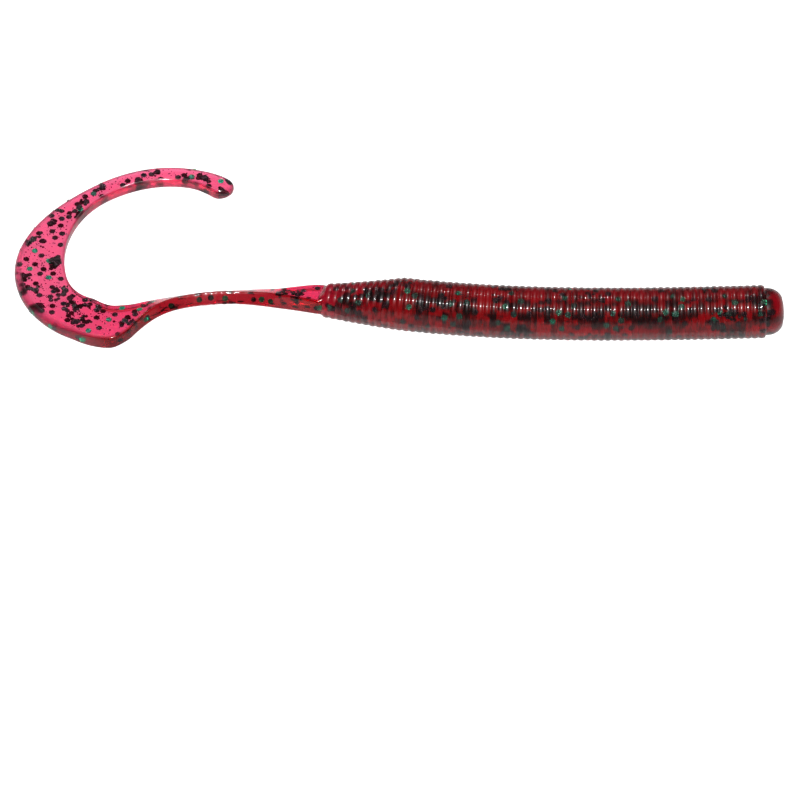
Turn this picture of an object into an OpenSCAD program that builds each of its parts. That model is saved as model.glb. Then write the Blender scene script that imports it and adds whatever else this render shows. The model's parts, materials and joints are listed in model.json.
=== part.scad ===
// Ringed soft plastic worm with a wide curled ribbon tail.
// The origin is the middle of the nose face, on the axis of the body. The body runs towards -X and lies
// along the plane z = -body_d / 2, where the flat underside of the ribbon lies too.
// The real moulding is one limp piece. Here it is cut into short links, hinged where they meet on its
// centreline. Each link holds its own glitter flakes as separate solids.

/* [Body] */
// Diameter over the ring crests
body_d = 8.05; // [7.6:0.05:8.5]
// Diameter over the ring crests where the body meets the tail
body_end_d = 5.15; // [4.9:0.05:6]
// Length over which the body narrows to the tail
taper_l = 11.5; // [9:0.5:18]
// Distance from one ring to the next
ring_pitch = 1; // [0.95:0.01:1.05]
// Depth of the grooves between the rings
ring_depth = 0.15; // [0.05:0.05:0.35]
// Length of the smooth nose in front of the first ring
nose_l = 2.85; // [2.5:0.05:3.5]
// Diameter of the flat face on the end of the nose
nose_face_d = 2.8; // [2:0.1:3.4]
// Diameter of the smooth nose where it meets the first ring
nose_d = 7.1; // [6.6:0.1:7.3]
// Heading of the nose against -X, in degrees, turning towards -Y
nose_heading = 2.2; // [0:0.1:4]
// Turn of the body towards +Y along its whole length, in degrees
body_turn = 16; // [10:0.5:20]

/* [Neck] */
// Distance along X from the body to the start of the curl
neck_reach = 30.9; // [28:0.1:34]
// Distance along Y by which the start of the curl lies nearer the front than the end of the body
neck_drop = 2.5; // [1.5:0.05:3.5]
// Pull of the body's direction on the neck's path
neck_lead = 12.2; // [9:0.1:14]
// Pull of the curl's direction on the neck's path
neck_trail = 12; // [9:0.1:13]
// Width of the blade where it leaves the body
root_w = 4.9; // [4.6:0.1:5.4]
// Thickness of the blade where it leaves the body
root_t = 2.45; // [2.1:0.05:2.6]
// Width of the neck where it is narrowest
neck_w = 2.2; // [2:0.1:3]
// Thickness of the neck
neck_t = 1.95; // [1.7:0.05:2.1]
// Tilt of the blade where it leaves the body, in degrees
root_tilt = 12; // [5:1:16]
// Tilt of the neck at its steepest, in degrees
neck_tilt = 45; // [30:1:50]

/* [Ribbon] */
// Direction of travel where the curl starts, in degrees from +X
curl_heading = 204; // [198:0.5:208]
// Turn of the curl at its start, in degrees for each millimetre
curl_start = 8.8; // [8:0.1:9]
// Turn of the curl half way along
curl_middle = 2.6; // [2.4:0.05:2.8]
// Turn of the curl at the tip
curl_end = 6.1; // [5:0.1:6.4]
// Length of the ribbon from the start of the curl to the tip
curl_l = 60; // [56:0.1:62]
// Width of the ribbon round the far bend
ribbon_w = 7.7; // [7:0.1:7.9]
// Width of the ribbon along its last third
arm_w = 3.1; // [2.8:0.1:3.6]
// Extra half width of the swelling at the tip
tip_swell = 0.3; // [0:0.05:0.4]
// Reach of the heel's corner from the centreline
heel_reach = 4.95; // [4:0.05:5.4]
// Thickness at the heel
heel_t = 2.25; // [1.9:0.05:2.6]
// Thickness at the tip
tip_t = 1.75; // [1.4:0.05:1.9]

/* [Bending] */
// Bend that each hinge of the body has room for, in degrees
body_bend = 10; // [6:1:12]
// Lift of the tail at the end of the body
root_lift = 15; // [5:1:18]
// Sway of the neck to either side
neck_sway = 12; // [5:1:14]
// Lift of the curl at the end of the neck
curl_lift = 20; // [10:1:25]
// Opening of the curl at the ribbon's first hinge
uncurl = 7; // [4:1:9]
// Tightening of the curl at the ribbon's first hinge
tighten = 2; // [0:0.5:3]

/* [Flakes] */
// Distance across the corners of a glitter flake
flake_d = 1; // [0.8:0.05:1.1]
// Thickness of a glitter flake
flake_t = 0.08; // [0.05:0.01:0.1]
// Flakes in each full link of the body, of both colours
body_flakes = 38; // [10:1:40]
// Flakes in each link of the wide ribbon, of both colours
ribbon_flakes = 15; // [5:1:16]
// Share of the body's flakes that are green
body_greens = 0.4; // [0.1:0.05:0.9]
// Share of the tail's flakes that are green
tail_greens = 0.25; // [0.1:0.05:0.9]

/* [Hidden] */
LINKS = ["nose", "body_1", "body_2", "body_3", "body_4", "body_5", "body_6", "body_7", "body_8",
    "tail_root", "neck_1", "neck_2", "heel", "ribbon_1", "ribbon_2", "ribbon_3", "ribbon_4", "ribbon_5",
    "ribbon_tip"];

LINKS_IN_BODY = 9;          // the nose and the eight ringed links
full_rings = 8;             // rings of an ordinary link
link_rings = [2, 8, 8, 8, 8, 8, 8, 5, 11];  // of the nose and the body links: the last holds the taper
ring_steps = 5;             // corners of the outline over one ring
clearance = 0.06;           // from a link's end to the hinge's centre
spare_bend = 0.4;           // extra room at each end face, in degrees
round_fn = 64;

neck_steps = 48;
curl_step = 0.5;
loft_step = 1.1;            // greatest distance between two sections of a tail link
edge_round = 0.3;           // size of the bevel along the ribbon's edges
tip_steps = 4;
flake_cover = 0.2;          // least plastic over a flake
flake_lean = 20;            // greatest lean of a body flake from the surface beside it, in degrees
ribbon_lean = 10;           // the same in the ribbon
flake_margin = 0.35;        // from a flake's corner to the hinge's plane
deep_every = 4;             // one body flake in so many lies deep
deep_share = 0.4;           // and at this share of the others' distance from the axis
slot_play = 0.25;           // random shifts of a flake: along the link, in slots,
turn_play = 9;              // round the axis, in degrees,
across_play = 0.05;         // across the ribbon, as a share of its width,
layer_play = 0.25;          // through the thickness,
hex_play = 30;              // and of the hexagon in its own plane, in degrees
golden_angle = 137.5;
golden_share = 0.618;
flake_seed = 11;

body_r = body_d / 2;
floor_z = -body_r;
function rings_before(n) = n == 0 ? 0 : rings_before(n - 1) + link_rings[n - 1];
body_l = nose_l + ring_pitch * rings_before(LINKS_IN_BODY);

function ease(x) = let (u = min(max(x, 0), 1)) u * u * (3 - 2 * u);
function slope(x) = min(max(x, 0), 1);
function mix(a, b, x) = a + (b - a) * x;

// ---- The body: a ringed round bar whose axis bows gently in plan and sinks as the body narrows ----

// Radius over the ring crests at the distance s from the nose face
function crest(s) = mix(body_r, body_end_d / 2, slope((s - body_l + taper_l) / taper_l));

// Radius of the outline, in the smooth nose and in the rings
function nose_radius(s) = let (u = 1 - slope(s / (0.85 * nose_l)))
    mix(nose_face_d / 2, nose_d / 2, sqrt(1 - u * u));
function ring_radius(s) = let (u = (s - nose_l) / ring_pitch)
    crest(s) - ring_depth * (1 - sin(180 * (u - floor(u))));
function body_radius(s) = s < nose_l ? nose_radius(s) : ring_radius(s);

// Point on the body's axis
function body_axis(s) = [
    -s,
    (body_turn * pow(s / body_l, 2) / 3 - nose_heading) * s * PI / 180,
    crest(s) - body_r
];

// Turn of the axis between the middles of the two links that meet at the distance s
function bow(s) = 2 * body_turn * s * full_rings * ring_pitch / pow(body_l, 2);

// Slope of a body link's end face at the hinge at s: room for the bend and for the bow of the axis
function body_relief(s) = (body_bend + bow(s)) / 2 + spare_bend;

// Distance from the nose face to the start of body link n, which is also its hinge
function link_start(n) = n == 0 ? 0 : nose_l + ring_pitch * rings_before(n);

// Turns +Z to the direction d
module point_along(d) {
    rotate([0, acos(d.z / norm(d)), atan2(d.y, d.x)]) children();
}

// Places children in the straight frame of body link n: +Z runs from its start to its end
module in_body_link(n) {
    a = body_axis(link_start(n));
    b = body_axis(link_start(n + 1));
    translate(a) point_along(b - a) children();
}

function link_length(n) = norm(body_axis(link_start(n + 1)) - body_axis(link_start(n)));

// Body link n: its outline turned about the axis, between two shallow cones that meet at the hinges
module body_link(n) {
    long = link_length(n);
    from_s = link_start(n);
    span = link_start(n + 1) - from_s;
    to_s = from_s + span;
    lead = n == 0 ? 0 : clearance + body_radius(from_s) * tan(body_relief(from_s));
    trail = clearance + body_radius(to_s) * tan(body_relief(to_s));
    step = ring_pitch / ring_steps;
    inner = [for (z = [step : step : span - step / 2])
        if (z > lead + step / 4 && z < span - trail - step / 4) z];
    stops = concat([lead], inner, [span - trail]);
    outline = [for (z = stops) [body_radius(from_s + z), z * long / span]];
    color("crimson")
        in_body_link(n)
        rotate_extrude($fn = round_fn)
        polygon(concat([[0, n == 0 ? 0 : clearance]], outline, [[0, long - clearance]]));
}

// ---- The tail: one centreline in plan, with a width, thickness, tilt and height at each distance ----

body_end = body_axis(body_l);
end_heading = 180 - body_turn + nose_heading;
curl_from = [body_end.x - neck_reach, body_end.y - neck_drop];

function along(heading) = [cos(heading), sin(heading)];
function curve(a, b, c, d, u) = let (v = 1 - u)
    v * v * v * a + 3 * v * v * u * b + 3 * v * u * u * c + u * u * u * d;
neck_path = [for (i = [0 : neck_steps - 1]) curve(
    [body_end.x, body_end.y],
    [body_end.x, body_end.y] + neck_lead * along(end_heading),
    curl_from - neck_trail * along(curl_heading),
    curl_from,
    i / neck_steps)];

// The curl's turn for each millimetre is a parabola through its start, middle and end values
function curl_turned(s) = let (u = s / curl_l,
    rise = 4 * curl_middle - 3 * curl_start - curl_end,
    bow = 2 * curl_start - 4 * curl_middle + 2 * curl_end)
    curl_l * (curl_start * u + rise * u * u / 2 + bow * u * u * u / 3);
function curl_direction(s) = along(curl_heading - curl_turned(s));
curl_path = [for (s = 0, p = curl_from; s <= curl_l + 0.001;
    p = p + curl_step * curl_direction(s + curl_step / 2), s = s + curl_step) p];

// The whole centreline, and the distance of each of its points from the end of the body
tail_path = concat(neck_path, curl_path);
path_end = len(tail_path) - 1;
tail_marks = [for (i = 0, t = 0; i <= path_end;
    i = i + 1, t = t + (i <= path_end ? norm(tail_path[i] - tail_path[i - 1]) : 0)) t];
tail_x = [for (i = [0 : path_end]) [tail_marks[i], tail_path[i].x]];
tail_y = [for (i = [0 : path_end]) [tail_marks[i], tail_path[i].y]];
neck_l = tail_marks[neck_steps];
tail_l = tail_marks[path_end];

// Distances from the end of the body, where the shape changes
neck_narrow = 9.5;
flare_from = neck_l - 9.5;
flare_bow = 1.5;            // above 1, the flare's outer edge is hollow
heel_at = neck_l + 1.8;
bend_from = neck_l + 17;
arm_from = neck_l + 39;
tip_from = tail_l - arm_w / 2 - tip_swell;

function root_half(t) = mix(root_w, neck_w, ease(t / neck_narrow)) / 2;
function ribbon_half(t) = mix(ribbon_w, arm_w, ease((t - bend_from) / (arm_from - bend_from))) / 2
    + tip_swell * ease((t - tip_from + 5) / 5);
function tip_round(t) = let (u = slope((t - tip_from) / (tail_l - tip_from))) sqrt(max(1 - u * u, 0.02));

// Reach of the outer edge, with the heel's corner, and of the inner edge, from the centreline
function outer_half(t) = tip_round(t) * (t < heel_at
    ? mix(root_half(t), heel_reach, pow(slope((t - flare_from) / (heel_at - flare_from)), flare_bow))
    : mix(heel_reach, ribbon_half(t), slope((t - heel_at) / 4)));
function inner_half(t) = tip_round(t) * mix(root_half(t), ribbon_half(t), ease((t - flare_from - 6) / 9.5));
function blade_t(t) = mix(root_t, neck_t, ease((t - 5) / neck_narrow));
function thickness(t) = mix(blade_t(t), heel_t, ease((t - neck_l + 8) / 8))
    + (tip_t - heel_t) * ease((t - neck_l - 3) / 14);
function tilt(t) = mix(root_tilt, neck_tilt, ease((t - 1) / 17)) * (1 - ease((t - neck_l + 12) / 15));
function lying_z(t) = floor_z
    + inner_half(t) * sin(tilt(t)) + thickness(t) / 2 * cos(tilt(t));
function tail_z(t) = mix(body_end.z, lying_z(t), ease(t / 8));

function tail_point(t) = [lookup(t, tail_x), lookup(t, tail_y), tail_z(t)];
function tail_forward(t) = let (
    a = tail_point(t - curl_step),
    b = tail_point(t + curl_step),
    d = [b.x - a.x, b.y - a.y, 0])
    d / norm(d);
function tail_outward(t) = let (f = tail_forward(t))
    [-f.y * cos(tilt(t)), f.x * cos(tilt(t)), sin(tilt(t))];
function tail_upward(t) = cross(tail_forward(t), tail_outward(t));

// A point beside the centreline: out towards the outer edge, up towards the top face and ahead
function beside(t, out, up, ahead) =
    tail_point(t) + out * tail_outward(t) + up * tail_upward(t) + ahead * tail_forward(t);

// Corners of the bevelled section, as distances out and up from the centreline
function section(t) = let (
    o = outer_half(t),
    i = inner_half(t),
    h = thickness(t) / 2,
    e = min(edge_round, o / 3, i / 3)) [
    [o, h - e], [o - e, h], [0, h], [e - i, h], [-i, h - e],
    [-i, e - h], [e - i, -h], [0, -h], [o - e, -h], [o, e - h]
];

// Hinges of the tail, from the end of the body to the start of the last link, and the tip
tip_link = 1.2;             // length of the last link against the ribbon's others
ribbon_from = neck_l + 6;
ribbon_link = (tail_l - ribbon_from) / (5 + tip_link);
tail_stops = concat([0, 9.5, 17.5, 25], [for (i = [0 : 5]) ribbon_from + i * ribbon_link], [tail_l]);

// How much of the uncurling each hinge of the ribbon takes against the first: more where it is narrow
uncurl_share = [1, 1.5, 2, 2.5, 3, 3];

// Slopes of the ends at each hinge, towards the outer edge, the inner edge and the faces
corner_rise = 1.6;          // the tilted blade's corners stand this much higher than its middle
small_bend = 3;             // room where a hinge only twists
function half_bend(angle) = angle / 2 + spare_bend;
function all_round(angle) = [half_bend(angle), half_bend(angle), half_bend(angle)];
hinge_relief = concat(
    [[half_bend(small_bend), half_bend(small_bend), half_bend(corner_rise * root_lift)]],
    [all_round(neck_sway), all_round(small_bend), all_round(curl_lift)],
    [for (share = uncurl_share) [half_bend(share * uncurl), half_bend(share * tighten), spare_bend]]);
function stand_back(hinge, c) = let (r = hinge_relief[hinge])
    clearance + abs(c.x) * tan(c.x > 0 ? r[0] : r[1]) + abs(c.y) * tan(r[2]);

// Distances at which link n has a section: evenly spread, and closer together round the tip
function tail_stations(n) = let (
    a = tail_stops[n],
    b = n == len(tail_stops) - 2 ? tip_from : tail_stops[n + 1],
    steps = ceil((b - a) / loft_step))
    concat([for (i = [0 : steps]) mix(a, b, i / steps)],
        b < tip_from ? [] : [for (i = [1 : tip_steps]) mix(tip_from, tail_l, sin(90 * i / tip_steps))]);

// A closed skin through rings of corners, from the first ring to the last
module loft(rings) {
    n = len(rings[0]);
    last = len(rings) - 1;
    sides = [for (i = [0 : last - 1]) for (j = [0 : n - 1]) let (k = (j + 1) % n, a = i * n, b = a + n)
        each [[a + j, b + k, a + k], [a + j, b + j, b + k]]];
    first_cap = [for (j = [1 : n - 2]) [0, j, j + 1]];
    last_cap = [for (j = [1 : n - 2]) [last * n, last * n + j + 1, last * n + j]];
    polyhedron([for (ring = rings) each ring], concat(sides, first_cap, last_cap), convexity = 6);
}

// Tail link n, a loft along the centreline. Its ends stand back from the hinges towards their edges.
module tail_link(n) {
    stations = tail_stations(n);
    last = len(stations) - 1;
    ends_in_hinge = n < len(tail_stops) - 2;
    color("hotpink") loft([for (i = [0 : last]) [for (c = section(stations[i])) beside(stations[i], c.x, c.y,
        i == 0 ? stand_back(n, c) : i == last && ends_in_hinge ? -stand_back(n + 1, c) : 0)]]);
}

// ---- Flakes: hexagons of foil, lying mostly along the surface beside them ----

module flake(at, facing, spin) {
    translate(at) point_along(facing) rotate(spin)
        cylinder(d = flake_d, h = flake_t, center = true, $fn = 6);
}

// Both colours share one run of slots along a link, so that no flake meets another.
// A slot is green when the running count of greens steps up there.
function is_green(slot, share) = floor((slot + 1) * share) > floor(slot * share);

// Radius that body flakes have to stay within, at the distance s from the nose face
function flake_room(s) = s < nose_l ? nose_radius(s - flake_d / 2) : crest(s + flake_d) - ring_depth;

// Flakes of one colour in body link n: slots turn by the golden angle round the axis
module body_link_flakes(n, green) {
    long = link_length(n);
    from_s = link_start(n);
    fill = pow(flake_room(from_s + long / 2) / body_r, 2) * long / (full_rings * ring_pitch);
    count = round(body_flakes * fill);
    end = flake_d / 2 + flake_margin;
    first_z = n == 0 ? 0.55 * nose_l : end;
    r = rands(-1, 1, 4 * count, flake_seed + n);
    in_body_link(n)
        for (slot = [0 : count - 1]) if (is_green(slot, body_greens) == green) {
            z = mix(first_z, long - end, (slot + 0.5 + slot_play * r[4 * slot]) / count);
            turn = slot * golden_angle + turn_play * r[4 * slot + 1];
            lean = flake_lean * r[4 * slot + 2];
            spin = hex_play * r[4 * slot + 3];
            skin = flake_room(from_s + z) - flake_cover - flake_d / 2 * abs(sin(lean)) - flake_t;
            reach = slot % deep_every == 0 ? deep_share * skin : skin - layer_play * abs(r[4 * slot + 3]);
            facing = [cos(turn) * cos(lean), sin(turn) * cos(lean), sin(lean)];
            flake([reach * cos(turn), reach * sin(turn), z], facing, spin);
        }
}

// Flakes of one colour in tail link n: slots step across the width by the golden share, and every
// second one lies in the lower half of the thickness
module tail_link_flakes(n, green) {
    a = tail_stops[n] + flake_d / 2 + flake_margin;
    b = tail_stops[n + 1] - flake_d / 2 - flake_margin;
    middle = (a + b) / 2;
    fill = (outer_half(middle) + inner_half(middle)) / ribbon_w * (b - a) / (ribbon_link - 2);
    count = round(ribbon_flakes * fill);
    r = rands(-1, 1, 4 * count, flake_seed + LINKS_IN_BODY + n);
    edge = flake_d / 2 + flake_cover;
    for (slot = [0 : count - 1]) if (is_green(slot + n, tail_greens) == green) {
        t = mix(a, b, (slot + 0.5 + slot_play * r[4 * slot]) / count);
        across = (slot * golden_share + across_play * (1 + r[4 * slot + 1])) % 1;
        out = mix(min(edge - inner_half(t), 0), max(outer_half(t) - edge, 0), across);
        lean = ribbon_lean * r[4 * slot + 2];
        room = thickness(t) / 2 - flake_cover - flake_d / 2 * abs(sin(lean)) - flake_t / 2;
        up = (slot % 2 == 0 ? 1 : -1) * (room - layer_play * abs(r[4 * slot + 3]));
        facing = tail_upward(t) * cos(lean) + tail_outward(t) * sin(lean);
        flake(beside(t, out, up, 0), facing, hex_play * r[4 * slot + 3]);
    }
}

module link(n) {
    if (n < LINKS_IN_BODY) body_link(n);
    else tail_link(n - LINKS_IN_BODY);
}

module flakes(n, green) {
    color(green ? "seagreen" : "black")
        if (n < LINKS_IN_BODY) body_link_flakes(n, green);
        else tail_link_flakes(n - LINKS_IN_BODY, green);
}

for (n = [0 : len(LINKS) - 1]) {
    link(n);
    flakes(n, true);
    flakes(n, false);
}
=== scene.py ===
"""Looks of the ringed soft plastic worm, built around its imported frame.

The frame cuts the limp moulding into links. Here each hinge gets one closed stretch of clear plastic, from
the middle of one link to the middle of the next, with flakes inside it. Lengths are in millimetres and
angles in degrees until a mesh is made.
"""
import json
import math

import bmesh
import bpy
import numpy as np
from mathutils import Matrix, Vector


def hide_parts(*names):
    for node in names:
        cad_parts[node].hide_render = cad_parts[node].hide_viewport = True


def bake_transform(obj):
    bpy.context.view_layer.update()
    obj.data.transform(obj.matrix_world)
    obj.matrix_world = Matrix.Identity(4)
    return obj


MM = 0.001
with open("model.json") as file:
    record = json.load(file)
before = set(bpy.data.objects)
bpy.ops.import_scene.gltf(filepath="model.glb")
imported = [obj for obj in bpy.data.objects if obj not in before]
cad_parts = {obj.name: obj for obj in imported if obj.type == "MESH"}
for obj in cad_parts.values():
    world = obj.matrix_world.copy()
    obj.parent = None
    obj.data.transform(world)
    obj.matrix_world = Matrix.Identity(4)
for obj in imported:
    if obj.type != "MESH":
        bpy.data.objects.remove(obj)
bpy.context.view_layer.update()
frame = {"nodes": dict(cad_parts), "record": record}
rng = np.random.default_rng(7)

# ---------------------------------------------------------------- driving dimensions, as in the CAD

BODY_R = 4.025
BODY_END_R = 2.575
TAPER_L = 11.5
RING_PITCH = 1.0
RING_DEPTH = 0.15
RINGS = 66
NOSE_L = 2.85
NOSE_FACE_R = 1.4
NOSE_R = 3.55
NOSE_ROUND = 0.85       # share of the nose's length that its rounding takes
NOSE_HEADING = 2.2
BODY_TURN = 16.0
BODY_L = NOSE_L + RING_PITCH * RINGS

NECK_REACH = 30.9
NECK_DROP = 2.5
NECK_LEAD = 12.2
NECK_TRAIL = 12.0
ROOT_W = 4.9
ROOT_T = 2.45
NECK_W = 2.2
NECK_T = 1.95
NECK_NARROW = 9.5
ROOT_TILT = 12.0
NECK_TILT = 45.0
NECK_POINTS = 140       # points along the curve of the neck

CURL_HEADING = 204.0
CURL_TURNS = (8.8, 2.6, 6.1)
CURL_L = 60.0
RIBBON_W = 7.7
ARM_W = 3.1
TIP_SWELL = 0.3
FLARE_BOW = 1.5
HEEL_REACH = 4.95
HEEL_T = 2.25
TIP_T = 1.75

FLOOR_Z = -BODY_R

# ---------------------------------------------------------------- small helpers


def ease(x):
    u = np.clip(x, 0, 1)
    return u * u * (3 - 2 * u)


def slope(x):
    return np.clip(x, 0, 1)


def mix(a, b, x):
    return a + (b - a) * x


def unit(v):
    return v / np.linalg.norm(v, axis=-1, keepdims=True)


def heading(degrees):
    return np.array([math.cos(math.radians(degrees)), math.sin(math.radians(degrees))])


# ---------------------------------------------------------------- the worm's line, from the nose to the tip


def crest(s):
    return mix(BODY_R, BODY_END_R, slope((s - BODY_L + TAPER_L) / TAPER_L))


def body_axis(s):
    y = (BODY_TURN * (s / BODY_L) ** 2 / 3 - NOSE_HEADING) * s * math.pi / 180
    return np.stack([-s, y, crest(s) - BODY_R], -1)


def tail_line(step=0.25):
    """Plan points of the tail's centreline, with their distances from the end of the body."""
    end = body_axis(np.array(BODY_L))[:2]
    curl = end - np.array([NECK_REACH, NECK_DROP])
    leave = end + NECK_LEAD * heading(180 - BODY_TURN + NOSE_HEADING)
    arrive = curl - NECK_TRAIL * heading(CURL_HEADING)
    u = np.linspace(0, 1, NECK_POINTS)[:, None]
    v = 1 - u
    neck = v**3 * end + 3 * v * v * u * leave + 3 * v * u * u * arrive + u**3 * curl
    first, middle, last = CURL_TURNS
    s = np.arange(step / 2, CURL_L, step)
    w = s / CURL_L
    rise = 4 * middle - 3 * first - last
    bow = 2 * first - 4 * middle + 2 * last
    turned = CURL_L * (first * w + rise * w * w / 2 + bow * w**3 / 3)
    way = np.radians(CURL_HEADING - turned)
    ribbon = curl + np.cumsum(step * np.stack([np.cos(way), np.sin(way)], -1), 0)
    points = np.vstack([neck, ribbon])
    marks = np.r_[0, np.cumsum(np.linalg.norm(np.diff(points, axis=0), axis=1))]
    return points, marks, marks[len(neck) - 1]


TAIL, TAIL_MARKS, NECK_L = tail_line()
TAIL_L = TAIL_MARKS[-1]

# Places along the tail where its shape starts to change, and the lengths over which it does
THIN_FROM = 5.0
TILT_FROM = 1.0
TILT_L = 17.0
SINK_L = 8.0
LEVEL_FROM = NECK_L - 12.0
LEVEL_L = 15.0
FLARE_FROM = NECK_L - 9.5
WIDEN_FROM = FLARE_FROM + 6.0
WIDEN_L = 9.5
THICKEN_FROM = NECK_L - 8.0
THICKEN_L = 8.0
HEEL_AT = NECK_L + 1.8
HEEL_TURN_L = 4.0
FLATTEN_FROM = NECK_L + 3.0
FLATTEN_L = 14.0
BEND_FROM = NECK_L + 17.0
ARM_FROM = NECK_L + 39.0
SWELL_L = 5.0
TIP_FROM = TAIL_L - ARM_W / 2 - TIP_SWELL


def root_half(t):
    return mix(ROOT_W, NECK_W, ease(t / NECK_NARROW)) / 2


def ribbon_half(t):
    full = mix(RIBBON_W, ARM_W, ease((t - BEND_FROM) / (ARM_FROM - BEND_FROM)))
    return full / 2 + TIP_SWELL * ease((t - TIP_FROM + SWELL_L) / SWELL_L)


def tip_round(t):
    return np.sqrt(np.maximum(1 - slope((t - TIP_FROM) / (TAIL_L - TIP_FROM)) ** 2, 0.004))


def outer_half(t):
    flare = mix(root_half(t), HEEL_REACH, slope((t - FLARE_FROM) / (HEEL_AT - FLARE_FROM)) ** FLARE_BOW)
    after = mix(HEEL_REACH, ribbon_half(t), slope((t - HEEL_AT) / HEEL_TURN_L))
    return tip_round(t) * np.where(t < HEEL_AT, flare, after)


def inner_half(t):
    return tip_round(t) * mix(root_half(t), ribbon_half(t), ease((t - WIDEN_FROM) / WIDEN_L))


def thickness(t):
    blade = mix(ROOT_T, NECK_T, ease((t - THIN_FROM) / NECK_NARROW))
    flat = mix(blade, HEEL_T, ease((t - THICKEN_FROM) / THICKEN_L))
    return flat + (TIP_T - HEEL_T) * ease((t - FLATTEN_FROM) / FLATTEN_L)


def tilt(t):
    rise = mix(ROOT_TILT, NECK_TILT, ease((t - TILT_FROM) / TILT_L))
    return np.radians(rise * (1 - ease((t - LEVEL_FROM) / LEVEL_L)))


def tail_z(t):
    lying = FLOOR_Z + inner_half(t) * np.sin(tilt(t)) + thickness(t) / 2 * np.cos(tilt(t))
    return mix(BODY_END_R - BODY_R, lying, ease(t / SINK_L))


def centre(q):
    """The worm's centreline at the distances q from the nose."""
    q = np.asarray(q, float)
    t = q - BODY_L
    x = np.interp(t, TAIL_MARKS, TAIL[:, 0])
    y = np.interp(t, TAIL_MARKS, TAIL[:, 1])
    tail = np.stack([x, y, tail_z(t)], -1)
    return np.where((t < 0)[..., None], body_axis(np.minimum(q, BODY_L)), tail)


def frames(q):
    """Forward, outward and upward directions at the distances q. Outward is left of the way to the tip."""
    q = np.asarray(q, float)
    end = BODY_L + TAIL_L
    a = np.clip(q - 0.5, 0, end - 1)
    ahead = centre(a + 1) - centre(a)
    ahead[..., 2] = 0
    ahead = unit(ahead)
    lean = np.where(q < BODY_L, np.radians(ROOT_TILT) * ease((q - BODY_L + 4) / 4), tilt(q - BODY_L))
    flat = np.stack([-ahead[..., 1], ahead[..., 0], np.zeros_like(q)], -1)
    out = flat * np.cos(lean)[..., None] + np.array([0, 0, 1]) * np.sin(lean)[..., None]
    return ahead, out, np.cross(ahead, out)


# ---------------------------------------------------------------- sections

CORNER = 6          # points round each corner of a blade section
FACE = 17           # points along its top, and along its underside
AROUND = 4 * CORNER + 2 * FACE + 6
TOP = slice(2 + CORNER, 2 + CORNER + FACE)
UNDER = slice(5 + FACE + 3 * CORNER, 5 + 2 * FACE + 3 * CORNER)
EDGE_R = 0.32       # radius of the ribbon's long edges
TIP_EDGE_R = 0.35   # growth of that radius to the end of the tip
TIP_THIN = 0.1      # share of the thickness left at the very end of the tip
FULLEST = 0.95      # greatest radius of an edge, as a share of half the section
ROUNDER_FROM = HEEL_AT + 1.0
ROUNDER_L = 8.0     # past the heel, the outer edge grows fully round over this length


def nose_radius(s):
    u = 1 - slope(s / (NOSE_ROUND * NOSE_L))
    return mix(NOSE_FACE_R, NOSE_R, np.sqrt(1 - u * u))


RING_SHIFT = rng.normal(0, 0.012, RINGS + 1)
RING_LEAN = rng.normal(0, 0.008, (RINGS + 1, 2))
RING_BLUNT = 0.85   # below 1, the rings are blunt and the grooves between them sharp
SEAM_WIDTH = 5.0    # half width of the mould's parting line, in degrees
SEAM_H = 0.05       # its height above the rings
SEAM_FILLS = 0.6    # share of each groove that it fills


def body_section(s):
    """Points round the body at s, as distances out and up: scalloped rings with a fine parting line."""
    angle = np.arange(AROUND) * 2 * math.pi / AROUND
    if s < NOSE_L:
        radius = np.full(AROUND, float(nose_radius(s)))
    else:
        ring = min(int((s - NOSE_L + 1e-6) / RING_PITCH), RINGS - 1)
        sway = RING_LEAN[ring, 0] * np.cos(angle) + RING_LEAN[ring, 1] * np.sin(angle)
        u = (s - NOSE_L) / RING_PITCH - ring
        inside = math.sin(math.pi * u)
        u = np.clip(u + sway * inside, 0, 1)
        scallop = 1 - np.abs(np.sin(math.pi * u)) ** RING_BLUNT
        seam = np.exp(-((np.degrees(np.arcsin(np.abs(np.sin(angle)))) / SEAM_WIDTH) ** 2))
        groove = RING_DEPTH * scallop * (1 - SEAM_FILLS * seam)
        radius = crest(s) - groove + SEAM_H * seam + RING_SHIFT[ring] * inside
    return np.stack([radius * np.cos(angle), radius * np.sin(angle)], -1)


def corner(x, y, r, start):
    a = np.radians(start + np.linspace(0, 90, CORNER))
    return np.stack([x + r * np.cos(a), y + r * np.sin(a)], -1)


def blade_section(t):
    """Points round the tail at t, as distances out and up: a strip with rounded long edges."""
    o, i = float(outer_half(t)), float(inner_half(t))
    u = float(slope((t - TIP_FROM) / (TAIL_L - TIP_FROM)))
    h = float(thickness(t)) / 2 * mix(TIP_THIN, 1, (1 - u**4) ** 0.5)
    r = min(EDGE_R + TIP_EDGE_R * u, FULLEST * h, FULLEST * o, FULLEST * i)
    w = mix(r, FULLEST * h, float(ease((t - ROUNDER_FROM) / ROUNDER_L)))
    over = np.linspace(0, 1, FACE + 2)[1:-1, None]
    top = mix(np.array([o - w, h]), np.array([r - i, h]), over)
    under = mix(np.array([r - i, -h]), np.array([o - w, -h]), over)
    side, outer_side = (h - r) / 2, (h - w) / 2
    return np.vstack([
        [[o, 0], [o, outer_side]], corner(o - w, h - w, w, 0), top, corner(r - i, h - r, r, 90),
        [[-i, side], [-i, 0], [-i, -side]], corner(r - i, r - h, r, 180), under,
        corner(o - w, w - h, w, 270), [[o, -outer_side]]])


ROOT_BLEND = 0.9    # the body's round end turns into the blade over this length
ROOT_FITS = 0.97    # size of that round end, as a share of the body's end
WAVES_AT = 16.5     # middle of the twist's waves, from the end of the body
WAVES_L = 3.4
WAVE_H = 0.06


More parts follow.
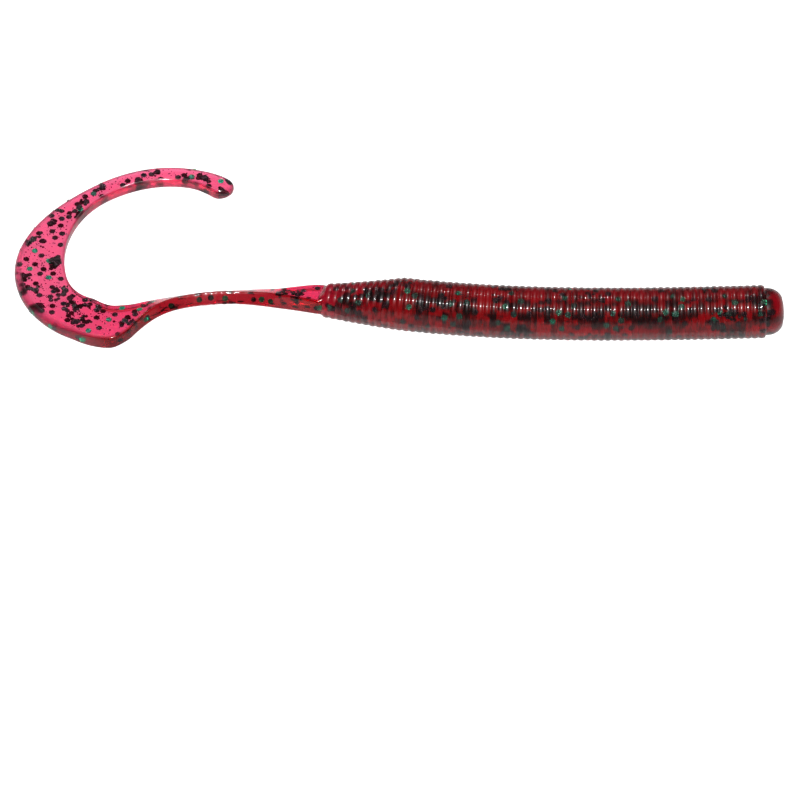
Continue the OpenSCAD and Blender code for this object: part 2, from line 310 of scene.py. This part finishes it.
def waves(t):
    """Slight waves that the twist leaves in the surface of the neck."""
    j = np.arange(AROUND) * 2 * math.pi / AROUND
    swell = WAVE_H * math.exp(-(((t - WAVES_AT) / WAVES_L) ** 2))
    return swell * (np.sin(4.6 * t + 1.5 * np.sin(3 * j)) + 0.6 * np.sin(2.7 * t + 2 * j))


def section(q):
    t = q - BODY_L
    if t < 0:
        return body_section(q)
    blade = blade_section(t)
    blade = blade + unit(blade) * waves(t)[:, None]
    if t > ROOT_BLEND:
        return blade
    round_end = body_section(BODY_L - 1e-6) * ROOT_FITS
    return mix(round_end, blade, math.sin(math.pi / 2 * t / ROOT_BLEND))


def ring_points(q, ahead=0.0):
    """The section at q, placed in the row frame."""
    go, out, up = frames(q)
    flat = section(q)
    return centre(q) + flat[:, :1] * out + flat[:, 1:] * up + ahead * go


# Levels of painted shade in the plastic's colour, which also set its roughness: edges darker than a face,
# the underside a little darker, the edges past the heel lighter.
EDGE_SHADE = 0.5
HEEL_EDGE_SHADE = 0.16
UNDER_SHADE = 0.12


def shade(q):
    """Level of painted shade round the section at q: 1 in the body, half in an edge, little or none in a
    face.
    """
    t = q - BODY_L
    if t < 0:
        return np.ones(AROUND)
    blade = np.full(AROUND, mix(EDGE_SHADE, HEEL_EDGE_SHADE, float(ease((t - HEEL_AT) / HEEL_TURN_L))))
    blade[TOP] = 0
    blade[UNDER] = UNDER_SHADE
    return mix(1, blade, float(ease(t / ROOT_BLEND)))


PARTING = -0.05     # height of the parting line on the body, as a share of its radius
UPPER_SHINE = 0.24
LOWER_SHINE = 0.45
BLADE_SHINE = 0.5
FLARE_SHINE = 0.12


def gloss(q):
    """Strength of the shine round the section at q. The body shines more below its parting line than
    above it. The edges of the flare are dull."""
    t = q - BODY_L
    angle = np.arange(AROUND) * 2 * math.pi / AROUND
    body = np.where(np.sin(angle) < PARTING, LOWER_SHINE, UPPER_SHINE)
    flare = float(ease((t - FLARE_FROM) / 4) * (1 - ease((t - HEEL_AT) / 2)))
    blade = np.full(AROUND, mix(BLADE_SHINE, FLARE_SHINE, flare))
    blade[TOP] = BLADE_SHINE
    blade[UNDER] = BLADE_SHINE
    return mix(body, blade, float(ease(t / 3)))


# ---------------------------------------------------------------- where the plastic is divided

LINKS = list(frame["record"]["behaviour"]["bodies"])
TAIL_STOPS = [9.5, 17.5, 25.0]
RIBBON_FROM = NECK_L + 6
RIBBON_LINK = (TAIL_L - RIBBON_FROM) / 6.2
LINK_RINGS = [2, 8, 8, 8, 8, 8, 8, 5, 11]   # rings of the nose and of the body links
HINGES = [float(NOSE_L + RING_PITCH * n) for n in np.cumsum(LINK_RINGS)]
HINGES += [BODY_L + t for t in TAIL_STOPS]
HINGES += [BODY_L + RIBBON_FROM + RIBBON_LINK * i for i in range(6)]
CUTS = [0.0] + [(a + b) / 2 for a, b in zip(HINGES, HINGES[1:])] + [BODY_L + TAIL_L]
PIECES = len(HINGES)
NOSE_STEPS = 20     # sections over the nose
RING_STEPS = 10     # sections over one ring
TAIL_STEP = 0.4     # greatest distance between two sections of the tail
GAP = 0.0025        # half the slit between two stretches, far too thin to see


def stations(a, b):
    """Distances of the sections from a to b."""
    rings = NOSE_L + np.arange(1, RINGS * RING_STEPS + 1) * RING_PITCH / RING_STEPS
    body = np.r_[np.linspace(0, NOSE_L, NOSE_STEPS + 1), rings]
    inside = body[(body > a + 1e-6) & (body < min(b, BODY_L) - 1e-6)]
    parts = [[a], inside]
    if b > BODY_L:
        start = max(a, BODY_L)
        tail = np.linspace(start, b, math.ceil((b - start) / TAIL_STEP) + 1)
        if a < BODY_L:
            root = BODY_L + np.linspace(0, ROOT_BLEND, 8)
            tail = np.r_[root, tail[tail > BODY_L + ROOT_BLEND + 0.1]]
        if b > BODY_L + TIP_FROM:
            round_end = BODY_L + mix(TIP_FROM, TAIL_L, np.sin(np.linspace(0, math.pi / 2, 9)))
            tail = np.r_[tail[tail < BODY_L + TIP_FROM - 0.1], round_end]
        parts.append(tail[1:] if a >= BODY_L else tail)
    else:
        parts.append([b])
    return np.concatenate(parts)


# ---------------------------------------------------------------- materials


def new_material(name):
    mat = bpy.data.materials.new(name)
    mat.use_nodes = True
    tree = mat.node_tree
    return mat, tree, tree.nodes["Principled BSDF"]


def node(tree, kind, **values):
    n = tree.nodes.new(kind)
    for key, value in values.items():
        if key in n.inputs:
            n.inputs[key].default_value = value
        else:
            setattr(n, key, value)
    return n


def maths(tree, operation, *values):
    """A sum on numbers and on the outputs of other nodes."""
    n = node(tree, "ShaderNodeMath", operation=operation)
    for socket, value in zip(n.inputs, values):
        if isinstance(value, bpy.types.NodeSocket):
            tree.links.new(value, socket)
        else:
            socket.default_value = value
    return n.outputs[0]


def attribute(tree, name):
    return node(tree, "ShaderNodeAttribute", attribute_name=name).outputs["Fac"]


def noise(tree, where, scale, detail):
    n = node(tree, "ShaderNodeTexNoise", Scale=scale, Detail=detail)
    tree.links.new(where, n.inputs["Vector"])
    return n.outputs["Fac"]


def ramp(tree, factor, first, last, *between):
    """A colour for each factor from 0 to 1. Those in between are given as (factor, colour)."""
    n = node(tree, "ShaderNodeValToRGB")
    elements = n.color_ramp.elements
    for place, colour in between:
        elements.new(place).color = (*colour, 1)
    elements[0].color = (*first, 1)
    elements[-1].color = (*last, 1)
    tree.links.new(factor, n.inputs["Fac"])
    return n.outputs["Color"]


def grey(level):
    return level, level, level


DYE_DENSITY = 1100.0                        # absorption of a fully blocked colour, for each metre
DYE_LETS_THROUGH = (0.93, 0.068, 0.42, 1)   # share of each colour that escapes it
PLASTIC_IOR = 1.46
# Painted shade: a deep red that darkens the edges and the neck, and a grey that darkens the whole body.
PAINTED_SHADE_EDGE_COLOUR = (0.30, 0.06, 0.05)
PAINTED_SHADE_BODY_COLOUR = (0.34, 0.32, 0.28)


def plastic_tint(tree, where, painted_shade_level, cap):
    """What the surface lets through: all in a clear face, less in an edge and in the body, which painted
    shade darkens, made patchy by noise.
    """
    # The painted shade level, made uneven by noise, turned into a darkening colour.
    patchy_painted_shade = maths(tree, "MULTIPLY_ADD", noise(tree, where, 160, 3), 0.12, painted_shade_level)
    tint = ramp(tree, patchy_painted_shade, grey(1.0), PAINTED_SHADE_BODY_COLOUR, (0.56, PAINTED_SHADE_EDGE_COLOUR))
    clear = node(tree, "ShaderNodeMix", data_type="RGBA")
    clear.inputs["B"].default_value = (1, 1, 1, 1)
    tree.links.new(cap, clear.inputs["Factor"])
    tree.links.new(tint, clear.inputs["A"])
    return clear.outputs["Result"]


def plastic_roughness(tree, where, painted_shade_level, outside):
    """Smooth on top, duller underneath and in the body, with uneven smears."""
    level = ramp(tree, painted_shade_level, grey(0.05), grey(0.32), (0.12, grey(0.38)), (0.5, grey(0.2)))
    smeared = maths(tree, "MULTIPLY_ADD", noise(tree, where, 900, 4), 0.1, level)
    return maths(tree, "MULTIPLY", smeared, outside)


def plastic_ripple(tree, where, outside):
    bump = node(tree, "ShaderNodeBump", Distance=0.00001)
    tree.links.new(noise(tree, where, 1500, 2), bump.inputs["Height"])
    tree.links.new(outside, bump.inputs["Strength"])
    return bump.outputs["Normal"]


def plastic_ior(tree, cap):
    """That of the plastic, and none at the cuts inside of it, which light passes straight."""
    n = node(tree, "ShaderNodeMapRange")
    n.inputs["To Min"].default_value = PLASTIC_IOR
    n.inputs["To Max"].default_value = 1.0
    tree.links.new(cap, n.inputs["Value"])
    return n.outputs["Result"]


def plastisol():
    """Clear red soft plastic. Colour comes from the distance that light travels through it, and from
    painted shade in the base colour that darkens the edges, the underside and the body.
    """
    mat, tree, bsdf = new_material("clear_red_plastic")
    link = tree.links.new
    where = node(tree, "ShaderNodeTexCoord").outputs["Object"]
    # The level of painted shade in the colour, which also sets the roughness.
    painted_shade_level = attribute(tree, "shade")
    cap = attribute(tree, "inner_cap")
    outside = maths(tree, "SUBTRACT", 1, cap)
    link(plastic_tint(tree, where, painted_shade_level, cap), bsdf.inputs["Base Color"])
    link(plastic_roughness(tree, where, painted_shade_level, outside), bsdf.inputs["Roughness"])
    link(plastic_ripple(tree, where, outside), bsdf.inputs["Normal"])
    link(plastic_ior(tree, cap), bsdf.inputs["IOR"])
    link(maths(tree, "MULTIPLY", outside, attribute(tree, "gloss")), bsdf.inputs["Coat Weight"])
    bsdf.inputs["Coat Roughness"].default_value = 0.09
    bsdf.inputs["Specular Tint"].default_value = (*grey(0.25), 1)
    bsdf.inputs["Transmission Weight"].default_value = 1
    dye = node(tree, "ShaderNodeVolumeAbsorption", Color=DYE_LETS_THROUGH, Density=DYE_DENSITY)
    link(dye.outputs["Volume"], tree.nodes["Material Output"].inputs["Volume"])
    return mat


def foil(name, dark, light, metallic, rough):
    """Glitter foil: each flake has its own shade, and its face is slightly crumpled."""
    mat, tree, bsdf = new_material(name)
    link = tree.links.new
    where = node(tree, "ShaderNodeTexCoord").outputs["Object"]
    own = node(tree, "ShaderNodeNewGeometry").outputs["Random Per Island"]
    link(ramp(tree, own, dark, light), bsdf.inputs["Base Color"])
    bump = node(tree, "ShaderNodeBump", Distance=0.00005, Strength=0.6)
    link(noise(tree, where, 2500, 2), bump.inputs["Height"])
    link(bump.outputs["Normal"], bsdf.inputs["Normal"])
    bsdf.inputs["Metallic"].default_value = metallic
    bsdf.inputs["Roughness"].default_value = rough
    return mat


RED = plastisol()
GREEN = foil("green_glitter", (0.0, 0.1, 0.045), (0.0, 0.55, 0.24), 0.2, 0.45)
BLACK = foil("black_glitter", (0.002, 0.002, 0.002), (0.006, 0.014, 0.013), 0.0, 0.6)

# ---------------------------------------------------------------- the plastic


NOSE_FACE = ((0.3, 0.10), (0.6, 0.08), (0.85, 0.05))    # its rings: share of the nose's end, bulge
NOSE_BULGE = 0.11


def placed(mesh, mat):
    """The mesh in the scene, in its material."""
    mesh.materials.append(mat)
    obj = bpy.data.objects.new(mesh.name, mesh)
    bpy.context.scene.collection.objects.link(obj)
    return obj


def nose_face(first, middle):
    """Rings that bulge out of the nose's first one, and the middle of the bulge."""
    go = frames(0.0)[0]
    rings = [mix(middle, first, share) - bulge * go for share, bulge in NOSE_FACE]
    return rings, middle - NOSE_BULGE * go


def tube(name, rings, ends):
    """A closed mesh through rings of points, with a fan of triangles to the point at each end."""
    points = np.vstack([*rings, *[end[None] for end in ends]])
    n, last = AROUND, len(rings) - 1
    first_mid, last_mid = len(points) - 2, len(points) - 1
    quads = [
        (i * n + j, i * n + (j + 1) % n, (i + 1) * n + (j + 1) % n, (i + 1) * n + j)
        for i in range(last)
        for j in range(n)
    ]
    head = [(first_mid, (j + 1) % n, j) for j in range(n)]
    tail = [(last_mid, last * n + j, last * n + (j + 1) % n) for j in range(n)]
    mesh = bpy.data.meshes.new(name)
    mesh.from_pydata((points * MM).tolist(), [], quads + head + tail)
    mesh.polygons.foreach_set("use_smooth", [True] * len(mesh.polygons))
    return mesh


def mark_cuts(mesh, count, head_cut, tail_cut):
    """Marks the faces and rims of the cuts at the ends of a tube of so many rings."""
    inner = np.zeros(len(mesh.polygons), np.float32)
    head, tail = (count - 1) * AROUND, count * AROUND
    inner[head:tail] = head_cut
    inner[tail:] = tail_cut
    mesh.attributes.new("inner_cap", "FLOAT", "FACE").data.foreach_set("value", inner)
    cut_rings = [0] * head_cut + [count - 1] * tail_cut
    for edge in mesh.edges:
        a, b = (v // AROUND for v in edge.vertices)
        edge.use_edge_sharp = a == b and a in cut_rings


def plastic(k):
    """The closed stretch of plastic over hinge k."""
    qs = stations(CUTS[k], CUTS[k + 1])
    rings = [ring_points(q) for q in qs]
    ends = [centre(qs[0]), centre(qs[-1])]
    head_cut, tail_cut = k > 0, k < PIECES - 1
    face = []
    if head_cut:
        rings[0] = ring_points(qs[0], GAP)
    else:
        face, ends[0] = nose_face(rings[0], ends[0])
    if tail_cut:
        rings[-1] = ring_points(qs[-1], -GAP)
    mesh = tube(f"plastic_{LINKS[k]}_{LINKS[k + 1]}", face + rings, ends)
    for name, value in (("shade", shade), ("gloss", gloss)):
        values = [value(q) for q in qs]
        values = [values[0]] * len(face) + values
        values = np.r_[np.concatenate(values), values[0].mean(), values[-1].mean()]
        mesh.attributes.new(name, "FLOAT", "POINT").data.foreach_set("value", values.astype(np.float32))
    mark_cuts(mesh, len(face + rings), head_cut, tail_cut)
    mesh.update()
    return placed(mesh, RED)


END_REACH = 3.6     # the first and the last span reach this far into the nose and into the tip
BEND_SHARE = 0.96   # share of the room between two cuts that a span takes


def bend_span(k):
    """Start and end of a span over hinge k, short of both cut sections."""
    at = centre(HINGES[k])
    go = frames(HINGES[k])[0]
    before = ((ring_points(CUTS[k]) - at) @ go).max() if k else -END_REACH
    after = ((ring_points(CUTS[k + 1]) - at) @ go).min() if k < PIECES - 1 else END_REACH
    return (at + BEND_SHARE * before * go) * MM, (at + BEND_SHARE * after * go) * MM


def attach(obj, k, nodes):
    """Bakes a piece's placing into its mesh and hides the CAD's nodes that it stands in for over hinge k.
    """
    start, end = bend_span(k)
    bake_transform(obj)
    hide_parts(*nodes)


# ---------------------------------------------------------------- flakes


def cad_flakes(name):
    """The flakes of a CAD node, each as (points, faces)."""
    bm = bmesh.new()
    bm.from_mesh(frame["nodes"][name].data)
    bmesh.ops.remove_doubles(bm, verts=bm.verts, dist=1e-7)
    left = set(bm.verts)
    found = []
    for first in list(bm.verts):
        if first not in left:
            continue
        island, queue = [], [first]
        left.discard(first)
        while queue:
            v = queue.pop()
            island.append(v)
            for edge in v.link_edges:
                other = edge.other_vert(v)
                if other in left:
                    left.discard(other)
                    queue.append(other)
        index = {v: i for i, v in enumerate(island)}
        faces = {f for v in island for f in v.link_faces}
        faces = sorted([index[v] for v in f.verts] for f in faces)
        found.append((np.array([v.co for v in island]) / MM, faces))
    bm.free()
    return found


HEX = np.radians(np.arange(6) * 60)
HEX_FACES = [[5, 4, 3, 2, 1, 0], [6, 7, 8, 9, 10, 11]] + [
    [i, (i + 1) % 6, (i + 1) % 6 + 6, i + 6] for i in range(6)
]


FOIL_T = 0.05


def flake(at, facing, size):
    """A hexagonal flake at a point, turned by chance in its own plane."""
    side = np.cross(facing, rng.normal(size=3))
    side = unit(side)
    other = np.cross(facing, side)
    rim = size / 2 * (np.cos(HEX)[:, None] * side + np.sin(HEX)[:, None] * other)
    points = np.vstack([at + rim - facing * FOIL_T / 2, at + rim + facing * FOIL_T / 2])
    return points, HEX_FACES


NOSE_CLEAR = 1.6    # no flakes are added in this first stretch of the nose
TIP_CLEAR = 0.15
UNDER_SKIN = 0.1    # least depth of a flake below the surface
CORE_R = 0.2        # none lies closer than this to the body's axis
NOSE_MARGIN = 0.4   # for a flake's room, the nose is as narrow as it is this far ahead of it
EDGE_CLEAR = 0.04


def lodge(q, across, depth, size, lean):
    """A flake at q, across the section and below its surface by the shares given. None if it won't fit."""
    if not NOSE_CLEAR + size / 2 < q < BODY_L + TAIL_L - size / 2 - TIP_CLEAR:
        return None
    go, out, up = frames(q)
    if q < BODY_L:
        angle = across * 2 * math.pi
        around = math.cos(angle) * out + math.sin(angle) * up
        skin = nose_radius(q - NOSE_MARGIN) if q < NOSE_L else crest(q) - RING_DEPTH
        room = skin - UNDER_SKIN - 0.5 * size * lean
        at = centre(q) + (1 - depth) * room * around
        facing = unit(around + lean * rng.normal(size=3))
        return flake(at, facing, size) if (1 - depth) * room > CORE_R else None
    t = q - BODY_L
    edge = size / 2 + EDGE_CLEAR
    near, far = float(edge - inner_half(t)), float(outer_half(t) - edge)
    room = float(thickness(t)) / 2 - UNDER_SKIN - 0.5 * size * lean
    if near > far or room < 0 or not 0 <= across <= 1:
        return None
    at = centre(q) + mix(near, far, across) * out + mix(room, -room, depth) * up
    return flake(at, unit(up + lean * rng.uniform(-1, 1, 3)), size)


TO_SKIN = 1.4       # above 1, the body's flakes lie more near its surface than in its core
DEPTH_SPREAD = 0.12


def scatter(a, b, count, sizes, crowd, lean, spread=0.55):
    """Flakes strewn through the plastic from a to b, in crowds of up to so many."""
    made = []
    while len(made) < count:
        q0 = rng.uniform(a, b)
        across0 = rng.uniform()
        depth0 = rng.uniform() ** (TO_SKIN if q0 < BODY_L else 1.0)
        girth = 2 * math.pi * BODY_R if q0 < BODY_L else RIBBON_W
        for _ in range(rng.integers(1, crowd + 1)):
            q = q0 + rng.normal(0, spread)
            across = across0 + rng.normal(0, spread) / girth
            depth = min(max(depth0 + rng.normal(0, DEPTH_SPREAD), 0), 1)
            found = lodge(q, across, depth, rng.uniform(*sizes), lean)
            if found:
                made.append(found)
    return made


EDGE_DEPTH = 0.13   # depth of an edge flake below the edge
EDGE_SIZES = (0.8, 1.1)


def edge_flakes(a, b, spacing):
    """Flakes that stand just under the outer edge of the blade from a to b, facing out of it."""
    made = []
    for q in np.arange(a + 0.4 * spacing, b, spacing):
        q += rng.uniform(-0.4, 0.4) * spacing
        out, up = frames(q)[1:]
        reach = float(outer_half(q - BODY_L)) - EDGE_DEPTH
        size = min(rng.uniform(*EDGE_SIZES), float(thickness(q - BODY_L)) - 0.7)
        at = centre(q) + reach * out + rng.uniform(-0.2, 0.2) * up
        made.append(flake(at, unit(out + 0.08 * rng.normal(size=3)), size))
    return made


def pieces_between(a, b):
    """The stretch from a to b, divided where the body ends."""
    return [(a, BODY_L), (BODY_L, b)] if a < BODY_L < b else [(a, b)]


FILL_L = 8.0        # the counts of flakes below are for this length at full width
NECK_SHARE = 0.35   # the neck holds this share of what the ribbon holds in the same area


def more_flakes(a, b):
    """Green and black flakes beyond the CAD's from a to b, with the fine black dust between them."""
    fill = (b - a) / FILL_L
    middle = (a + b) / 2
    if middle < BODY_L:
        fill *= float(crest(middle) / BODY_R) ** 2
        greens = scatter(a, b, round(5 * fill), sizes=(0.8, 1.05), crowd=2, lean=0.2)
        blacks = scatter(a, b, round(140 * fill), sizes=(0.4, 1.0), crowd=14, lean=0.25, spread=0.6)
        dust = scatter(a, b, round(160 * fill), sizes=(0.1, 0.28), crowd=3, lean=0.5)
        return greens, blacks + dust
    t = middle - BODY_L
    fill *= float(outer_half(t) + inner_half(t)) / RIBBON_W
    narrow = t < FLARE_FROM
    if narrow:
        fill *= NECK_SHARE
    greens = edge_flakes(a, b, 4.5 if narrow else 6.5)
    blacks = scatter(a, b, round(70 * fill), sizes=(0.3, 0.95), crowd=14, lean=0.1, spread=0.42)
    blacks += edge_flakes(a, b, 9.0 if narrow else 4.5)
    dust = scatter(a, b, round(110 * fill), sizes=(0.1, 0.25), crowd=2, lean=0.2)
    return greens, blacks + dust


def strewn(name, parts, mat):
    """One mesh out of many flakes."""
    points = np.vstack([p for p, _ in parts])
    faces, offset = [], 0
    for p, f in parts:
        faces += [[i + offset for i in face] for face in f]
        offset += len(p)
    mesh = bpy.data.meshes.new(name)
    mesh.from_pydata((points * MM).tolist(), [], faces)
    return placed(mesh, mat)


def sorted_flakes(colour):
    """The CAD's flakes of one colour, by the stretch of plastic they lie in."""
    groups = [[] for _ in range(PIECES)]
    for i, name in enumerate(LINKS):
        for points, faces in cad_flakes(f"{name}_{colour}_flakes"):
            k = i - 1
            if 0 < i < PIECES:
                at = centre(CUTS[i])
                ahead = (points.mean(0) - at) @ frames(CUTS[i])[0]
                k = i if ahead > 0 else i - 1
            groups[min(max(k, 0), PIECES - 1)].append((points, faces))
    return groups


# ---------------------------------------------------------------- assembly

GREENS = sorted_flakes("green")
BLACKS = sorted_flakes("black")
for k in range(PIECES):
    a, b = LINKS[k], LINKS[k + 1]
    ends = [a, b] if k == PIECES - 1 else [a]
    attach(plastic(k), k, ends)
    greens, blacks = GREENS[k], BLACKS[k]
    for start, end in pieces_between(CUTS[k], CUTS[k + 1]):
        more_greens, more_blacks = more_flakes(start, end)
        greens = greens + more_greens
        blacks = blacks + more_blacks
    for colour, flakes, mat in (("green", greens, GREEN), ("black", blacks, BLACK)):
        nodes = [f"{n}_{colour}_flakes" for n in ends]
        attach(strewn(f"{colour}_flakes_{a}_{b}", flakes, mat), k, nodes)

# ---------------------------------------------------------------- floor, light and camera

FLOOR_DROP = 0.03   # the floor lies this far below the worm, so that no two surfaces coincide


def unmirrored(tree, seen, mirrored):
    """A strength that is weaker for rays that some surface has mirrored, like a studio's dark side."""
    path = node(tree, "ShaderNodeLightPath").outputs
    reflected = maths(tree, "SUBTRACT", path["Is Glossy Ray"], path["Is Transmission Ray"])
    reflected.node.use_clamp = True
    level = node(tree, "ShaderNodeMapRange")
    level.inputs["To Min"].default_value = seen
    level.inputs["To Max"].default_value = mirrored
    tree.links.new(reflected, level.inputs["Value"])
    return level.outputs["Result"]


def floor():
    """A white table, lit evenly from underneath, so that no shadow falls on it."""
    size = 3.0      # metres from the middle to a side
    z = (FLOOR_Z - FLOOR_DROP) * MM
    mesh = bpy.data.meshes.new("floor")
    corners = [(-size, -size, z), (size, -size, z), (size, size, z), (-size, size, z)]
    mesh.from_pydata(corners, [], [(0, 1, 2, 3)])
    mat, tree, bsdf = new_material("pale_floor")
    bsdf.inputs["Base Color"].default_value = (0.2, 0.2, 0.2, 1)
    bsdf.inputs["Roughness"].default_value = 1
    bsdf.inputs["Specular IOR Level"].default_value = 0
    bsdf.inputs["Emission Color"].default_value = (1, 1, 1, 1)
    tree.links.new(unmirrored(tree, 1.2, 0.35), bsdf.inputs["Emission Strength"])
    placed(mesh, mat)


def sky(bright, mirrored):
    """White all round."""
    world = bpy.data.worlds.new("studio")
    world.use_nodes = True
    tree = world.node_tree
    back = tree.nodes["Background"]
    back.inputs["Color"].default_value = (1, 1, 1, 1)
    tree.links.new(unmirrored(tree, bright, mirrored), back.inputs["Strength"])
    bpy.context.scene.world = world


def softbox(name, angle, distance, size, power):
    """An oblong light over the body, at an angle up from the camera's side of the floor."""
    light = bpy.data.lights.new(name, "AREA")
    light.shape = "RECTANGLE"
    light.size, light.size_y = size
    light.energy = power
    obj = bpy.data.objects.new(name, light)
    aim = Vector((-0.05, 0.0, 0.0))
    way = Vector((0, -math.cos(math.radians(angle)), math.sin(math.radians(angle)))).normalized()
    obj.location = aim + way * distance
    obj.rotation_euler = way.to_track_quat("Z", "Y").to_euler()
    bpy.context.scene.collection.objects.link(obj)


def camera():
    """Looks along +Y from 45 degrees up, from far off, so that lines stay nearly parallel."""
    away = 4.0
    wide = 0.12
    data = bpy.data.cameras.new("camera")
    data.sensor_width = 36
    data.lens = data.sensor_width * away / wide
    obj = bpy.data.objects.new("camera", data)
    aim = Vector((-0.0576, -0.0149, FLOOR_Z * MM))
    way = Vector((0, -1, 1)).normalized()
    obj.location = aim + way * away
    obj.rotation_euler = way.to_track_quat("Z", "Y").to_euler()
    bpy.context.scene.collection.objects.link(obj)
    bpy.context.scene.camera = obj


floor()
sky(bright=1.0, mirrored=0.06)
softbox("key", 64, 0.6, (0.09, 0.035), 6.0)
softbox("back", 122, 0.6, (0.07, 0.035), 1.5)
camera()

scene = bpy.context.scene
scene.view_settings.view_transform = "Standard"
cycles = scene.cycles
cycles.use_denoising = True
cycles.max_bounces = 24
cycles.transmission_bounces = 24
cycles.glossy_bounces = 8
cycles.diffuse_bounces = 4
cycles.volume_bounces = 0
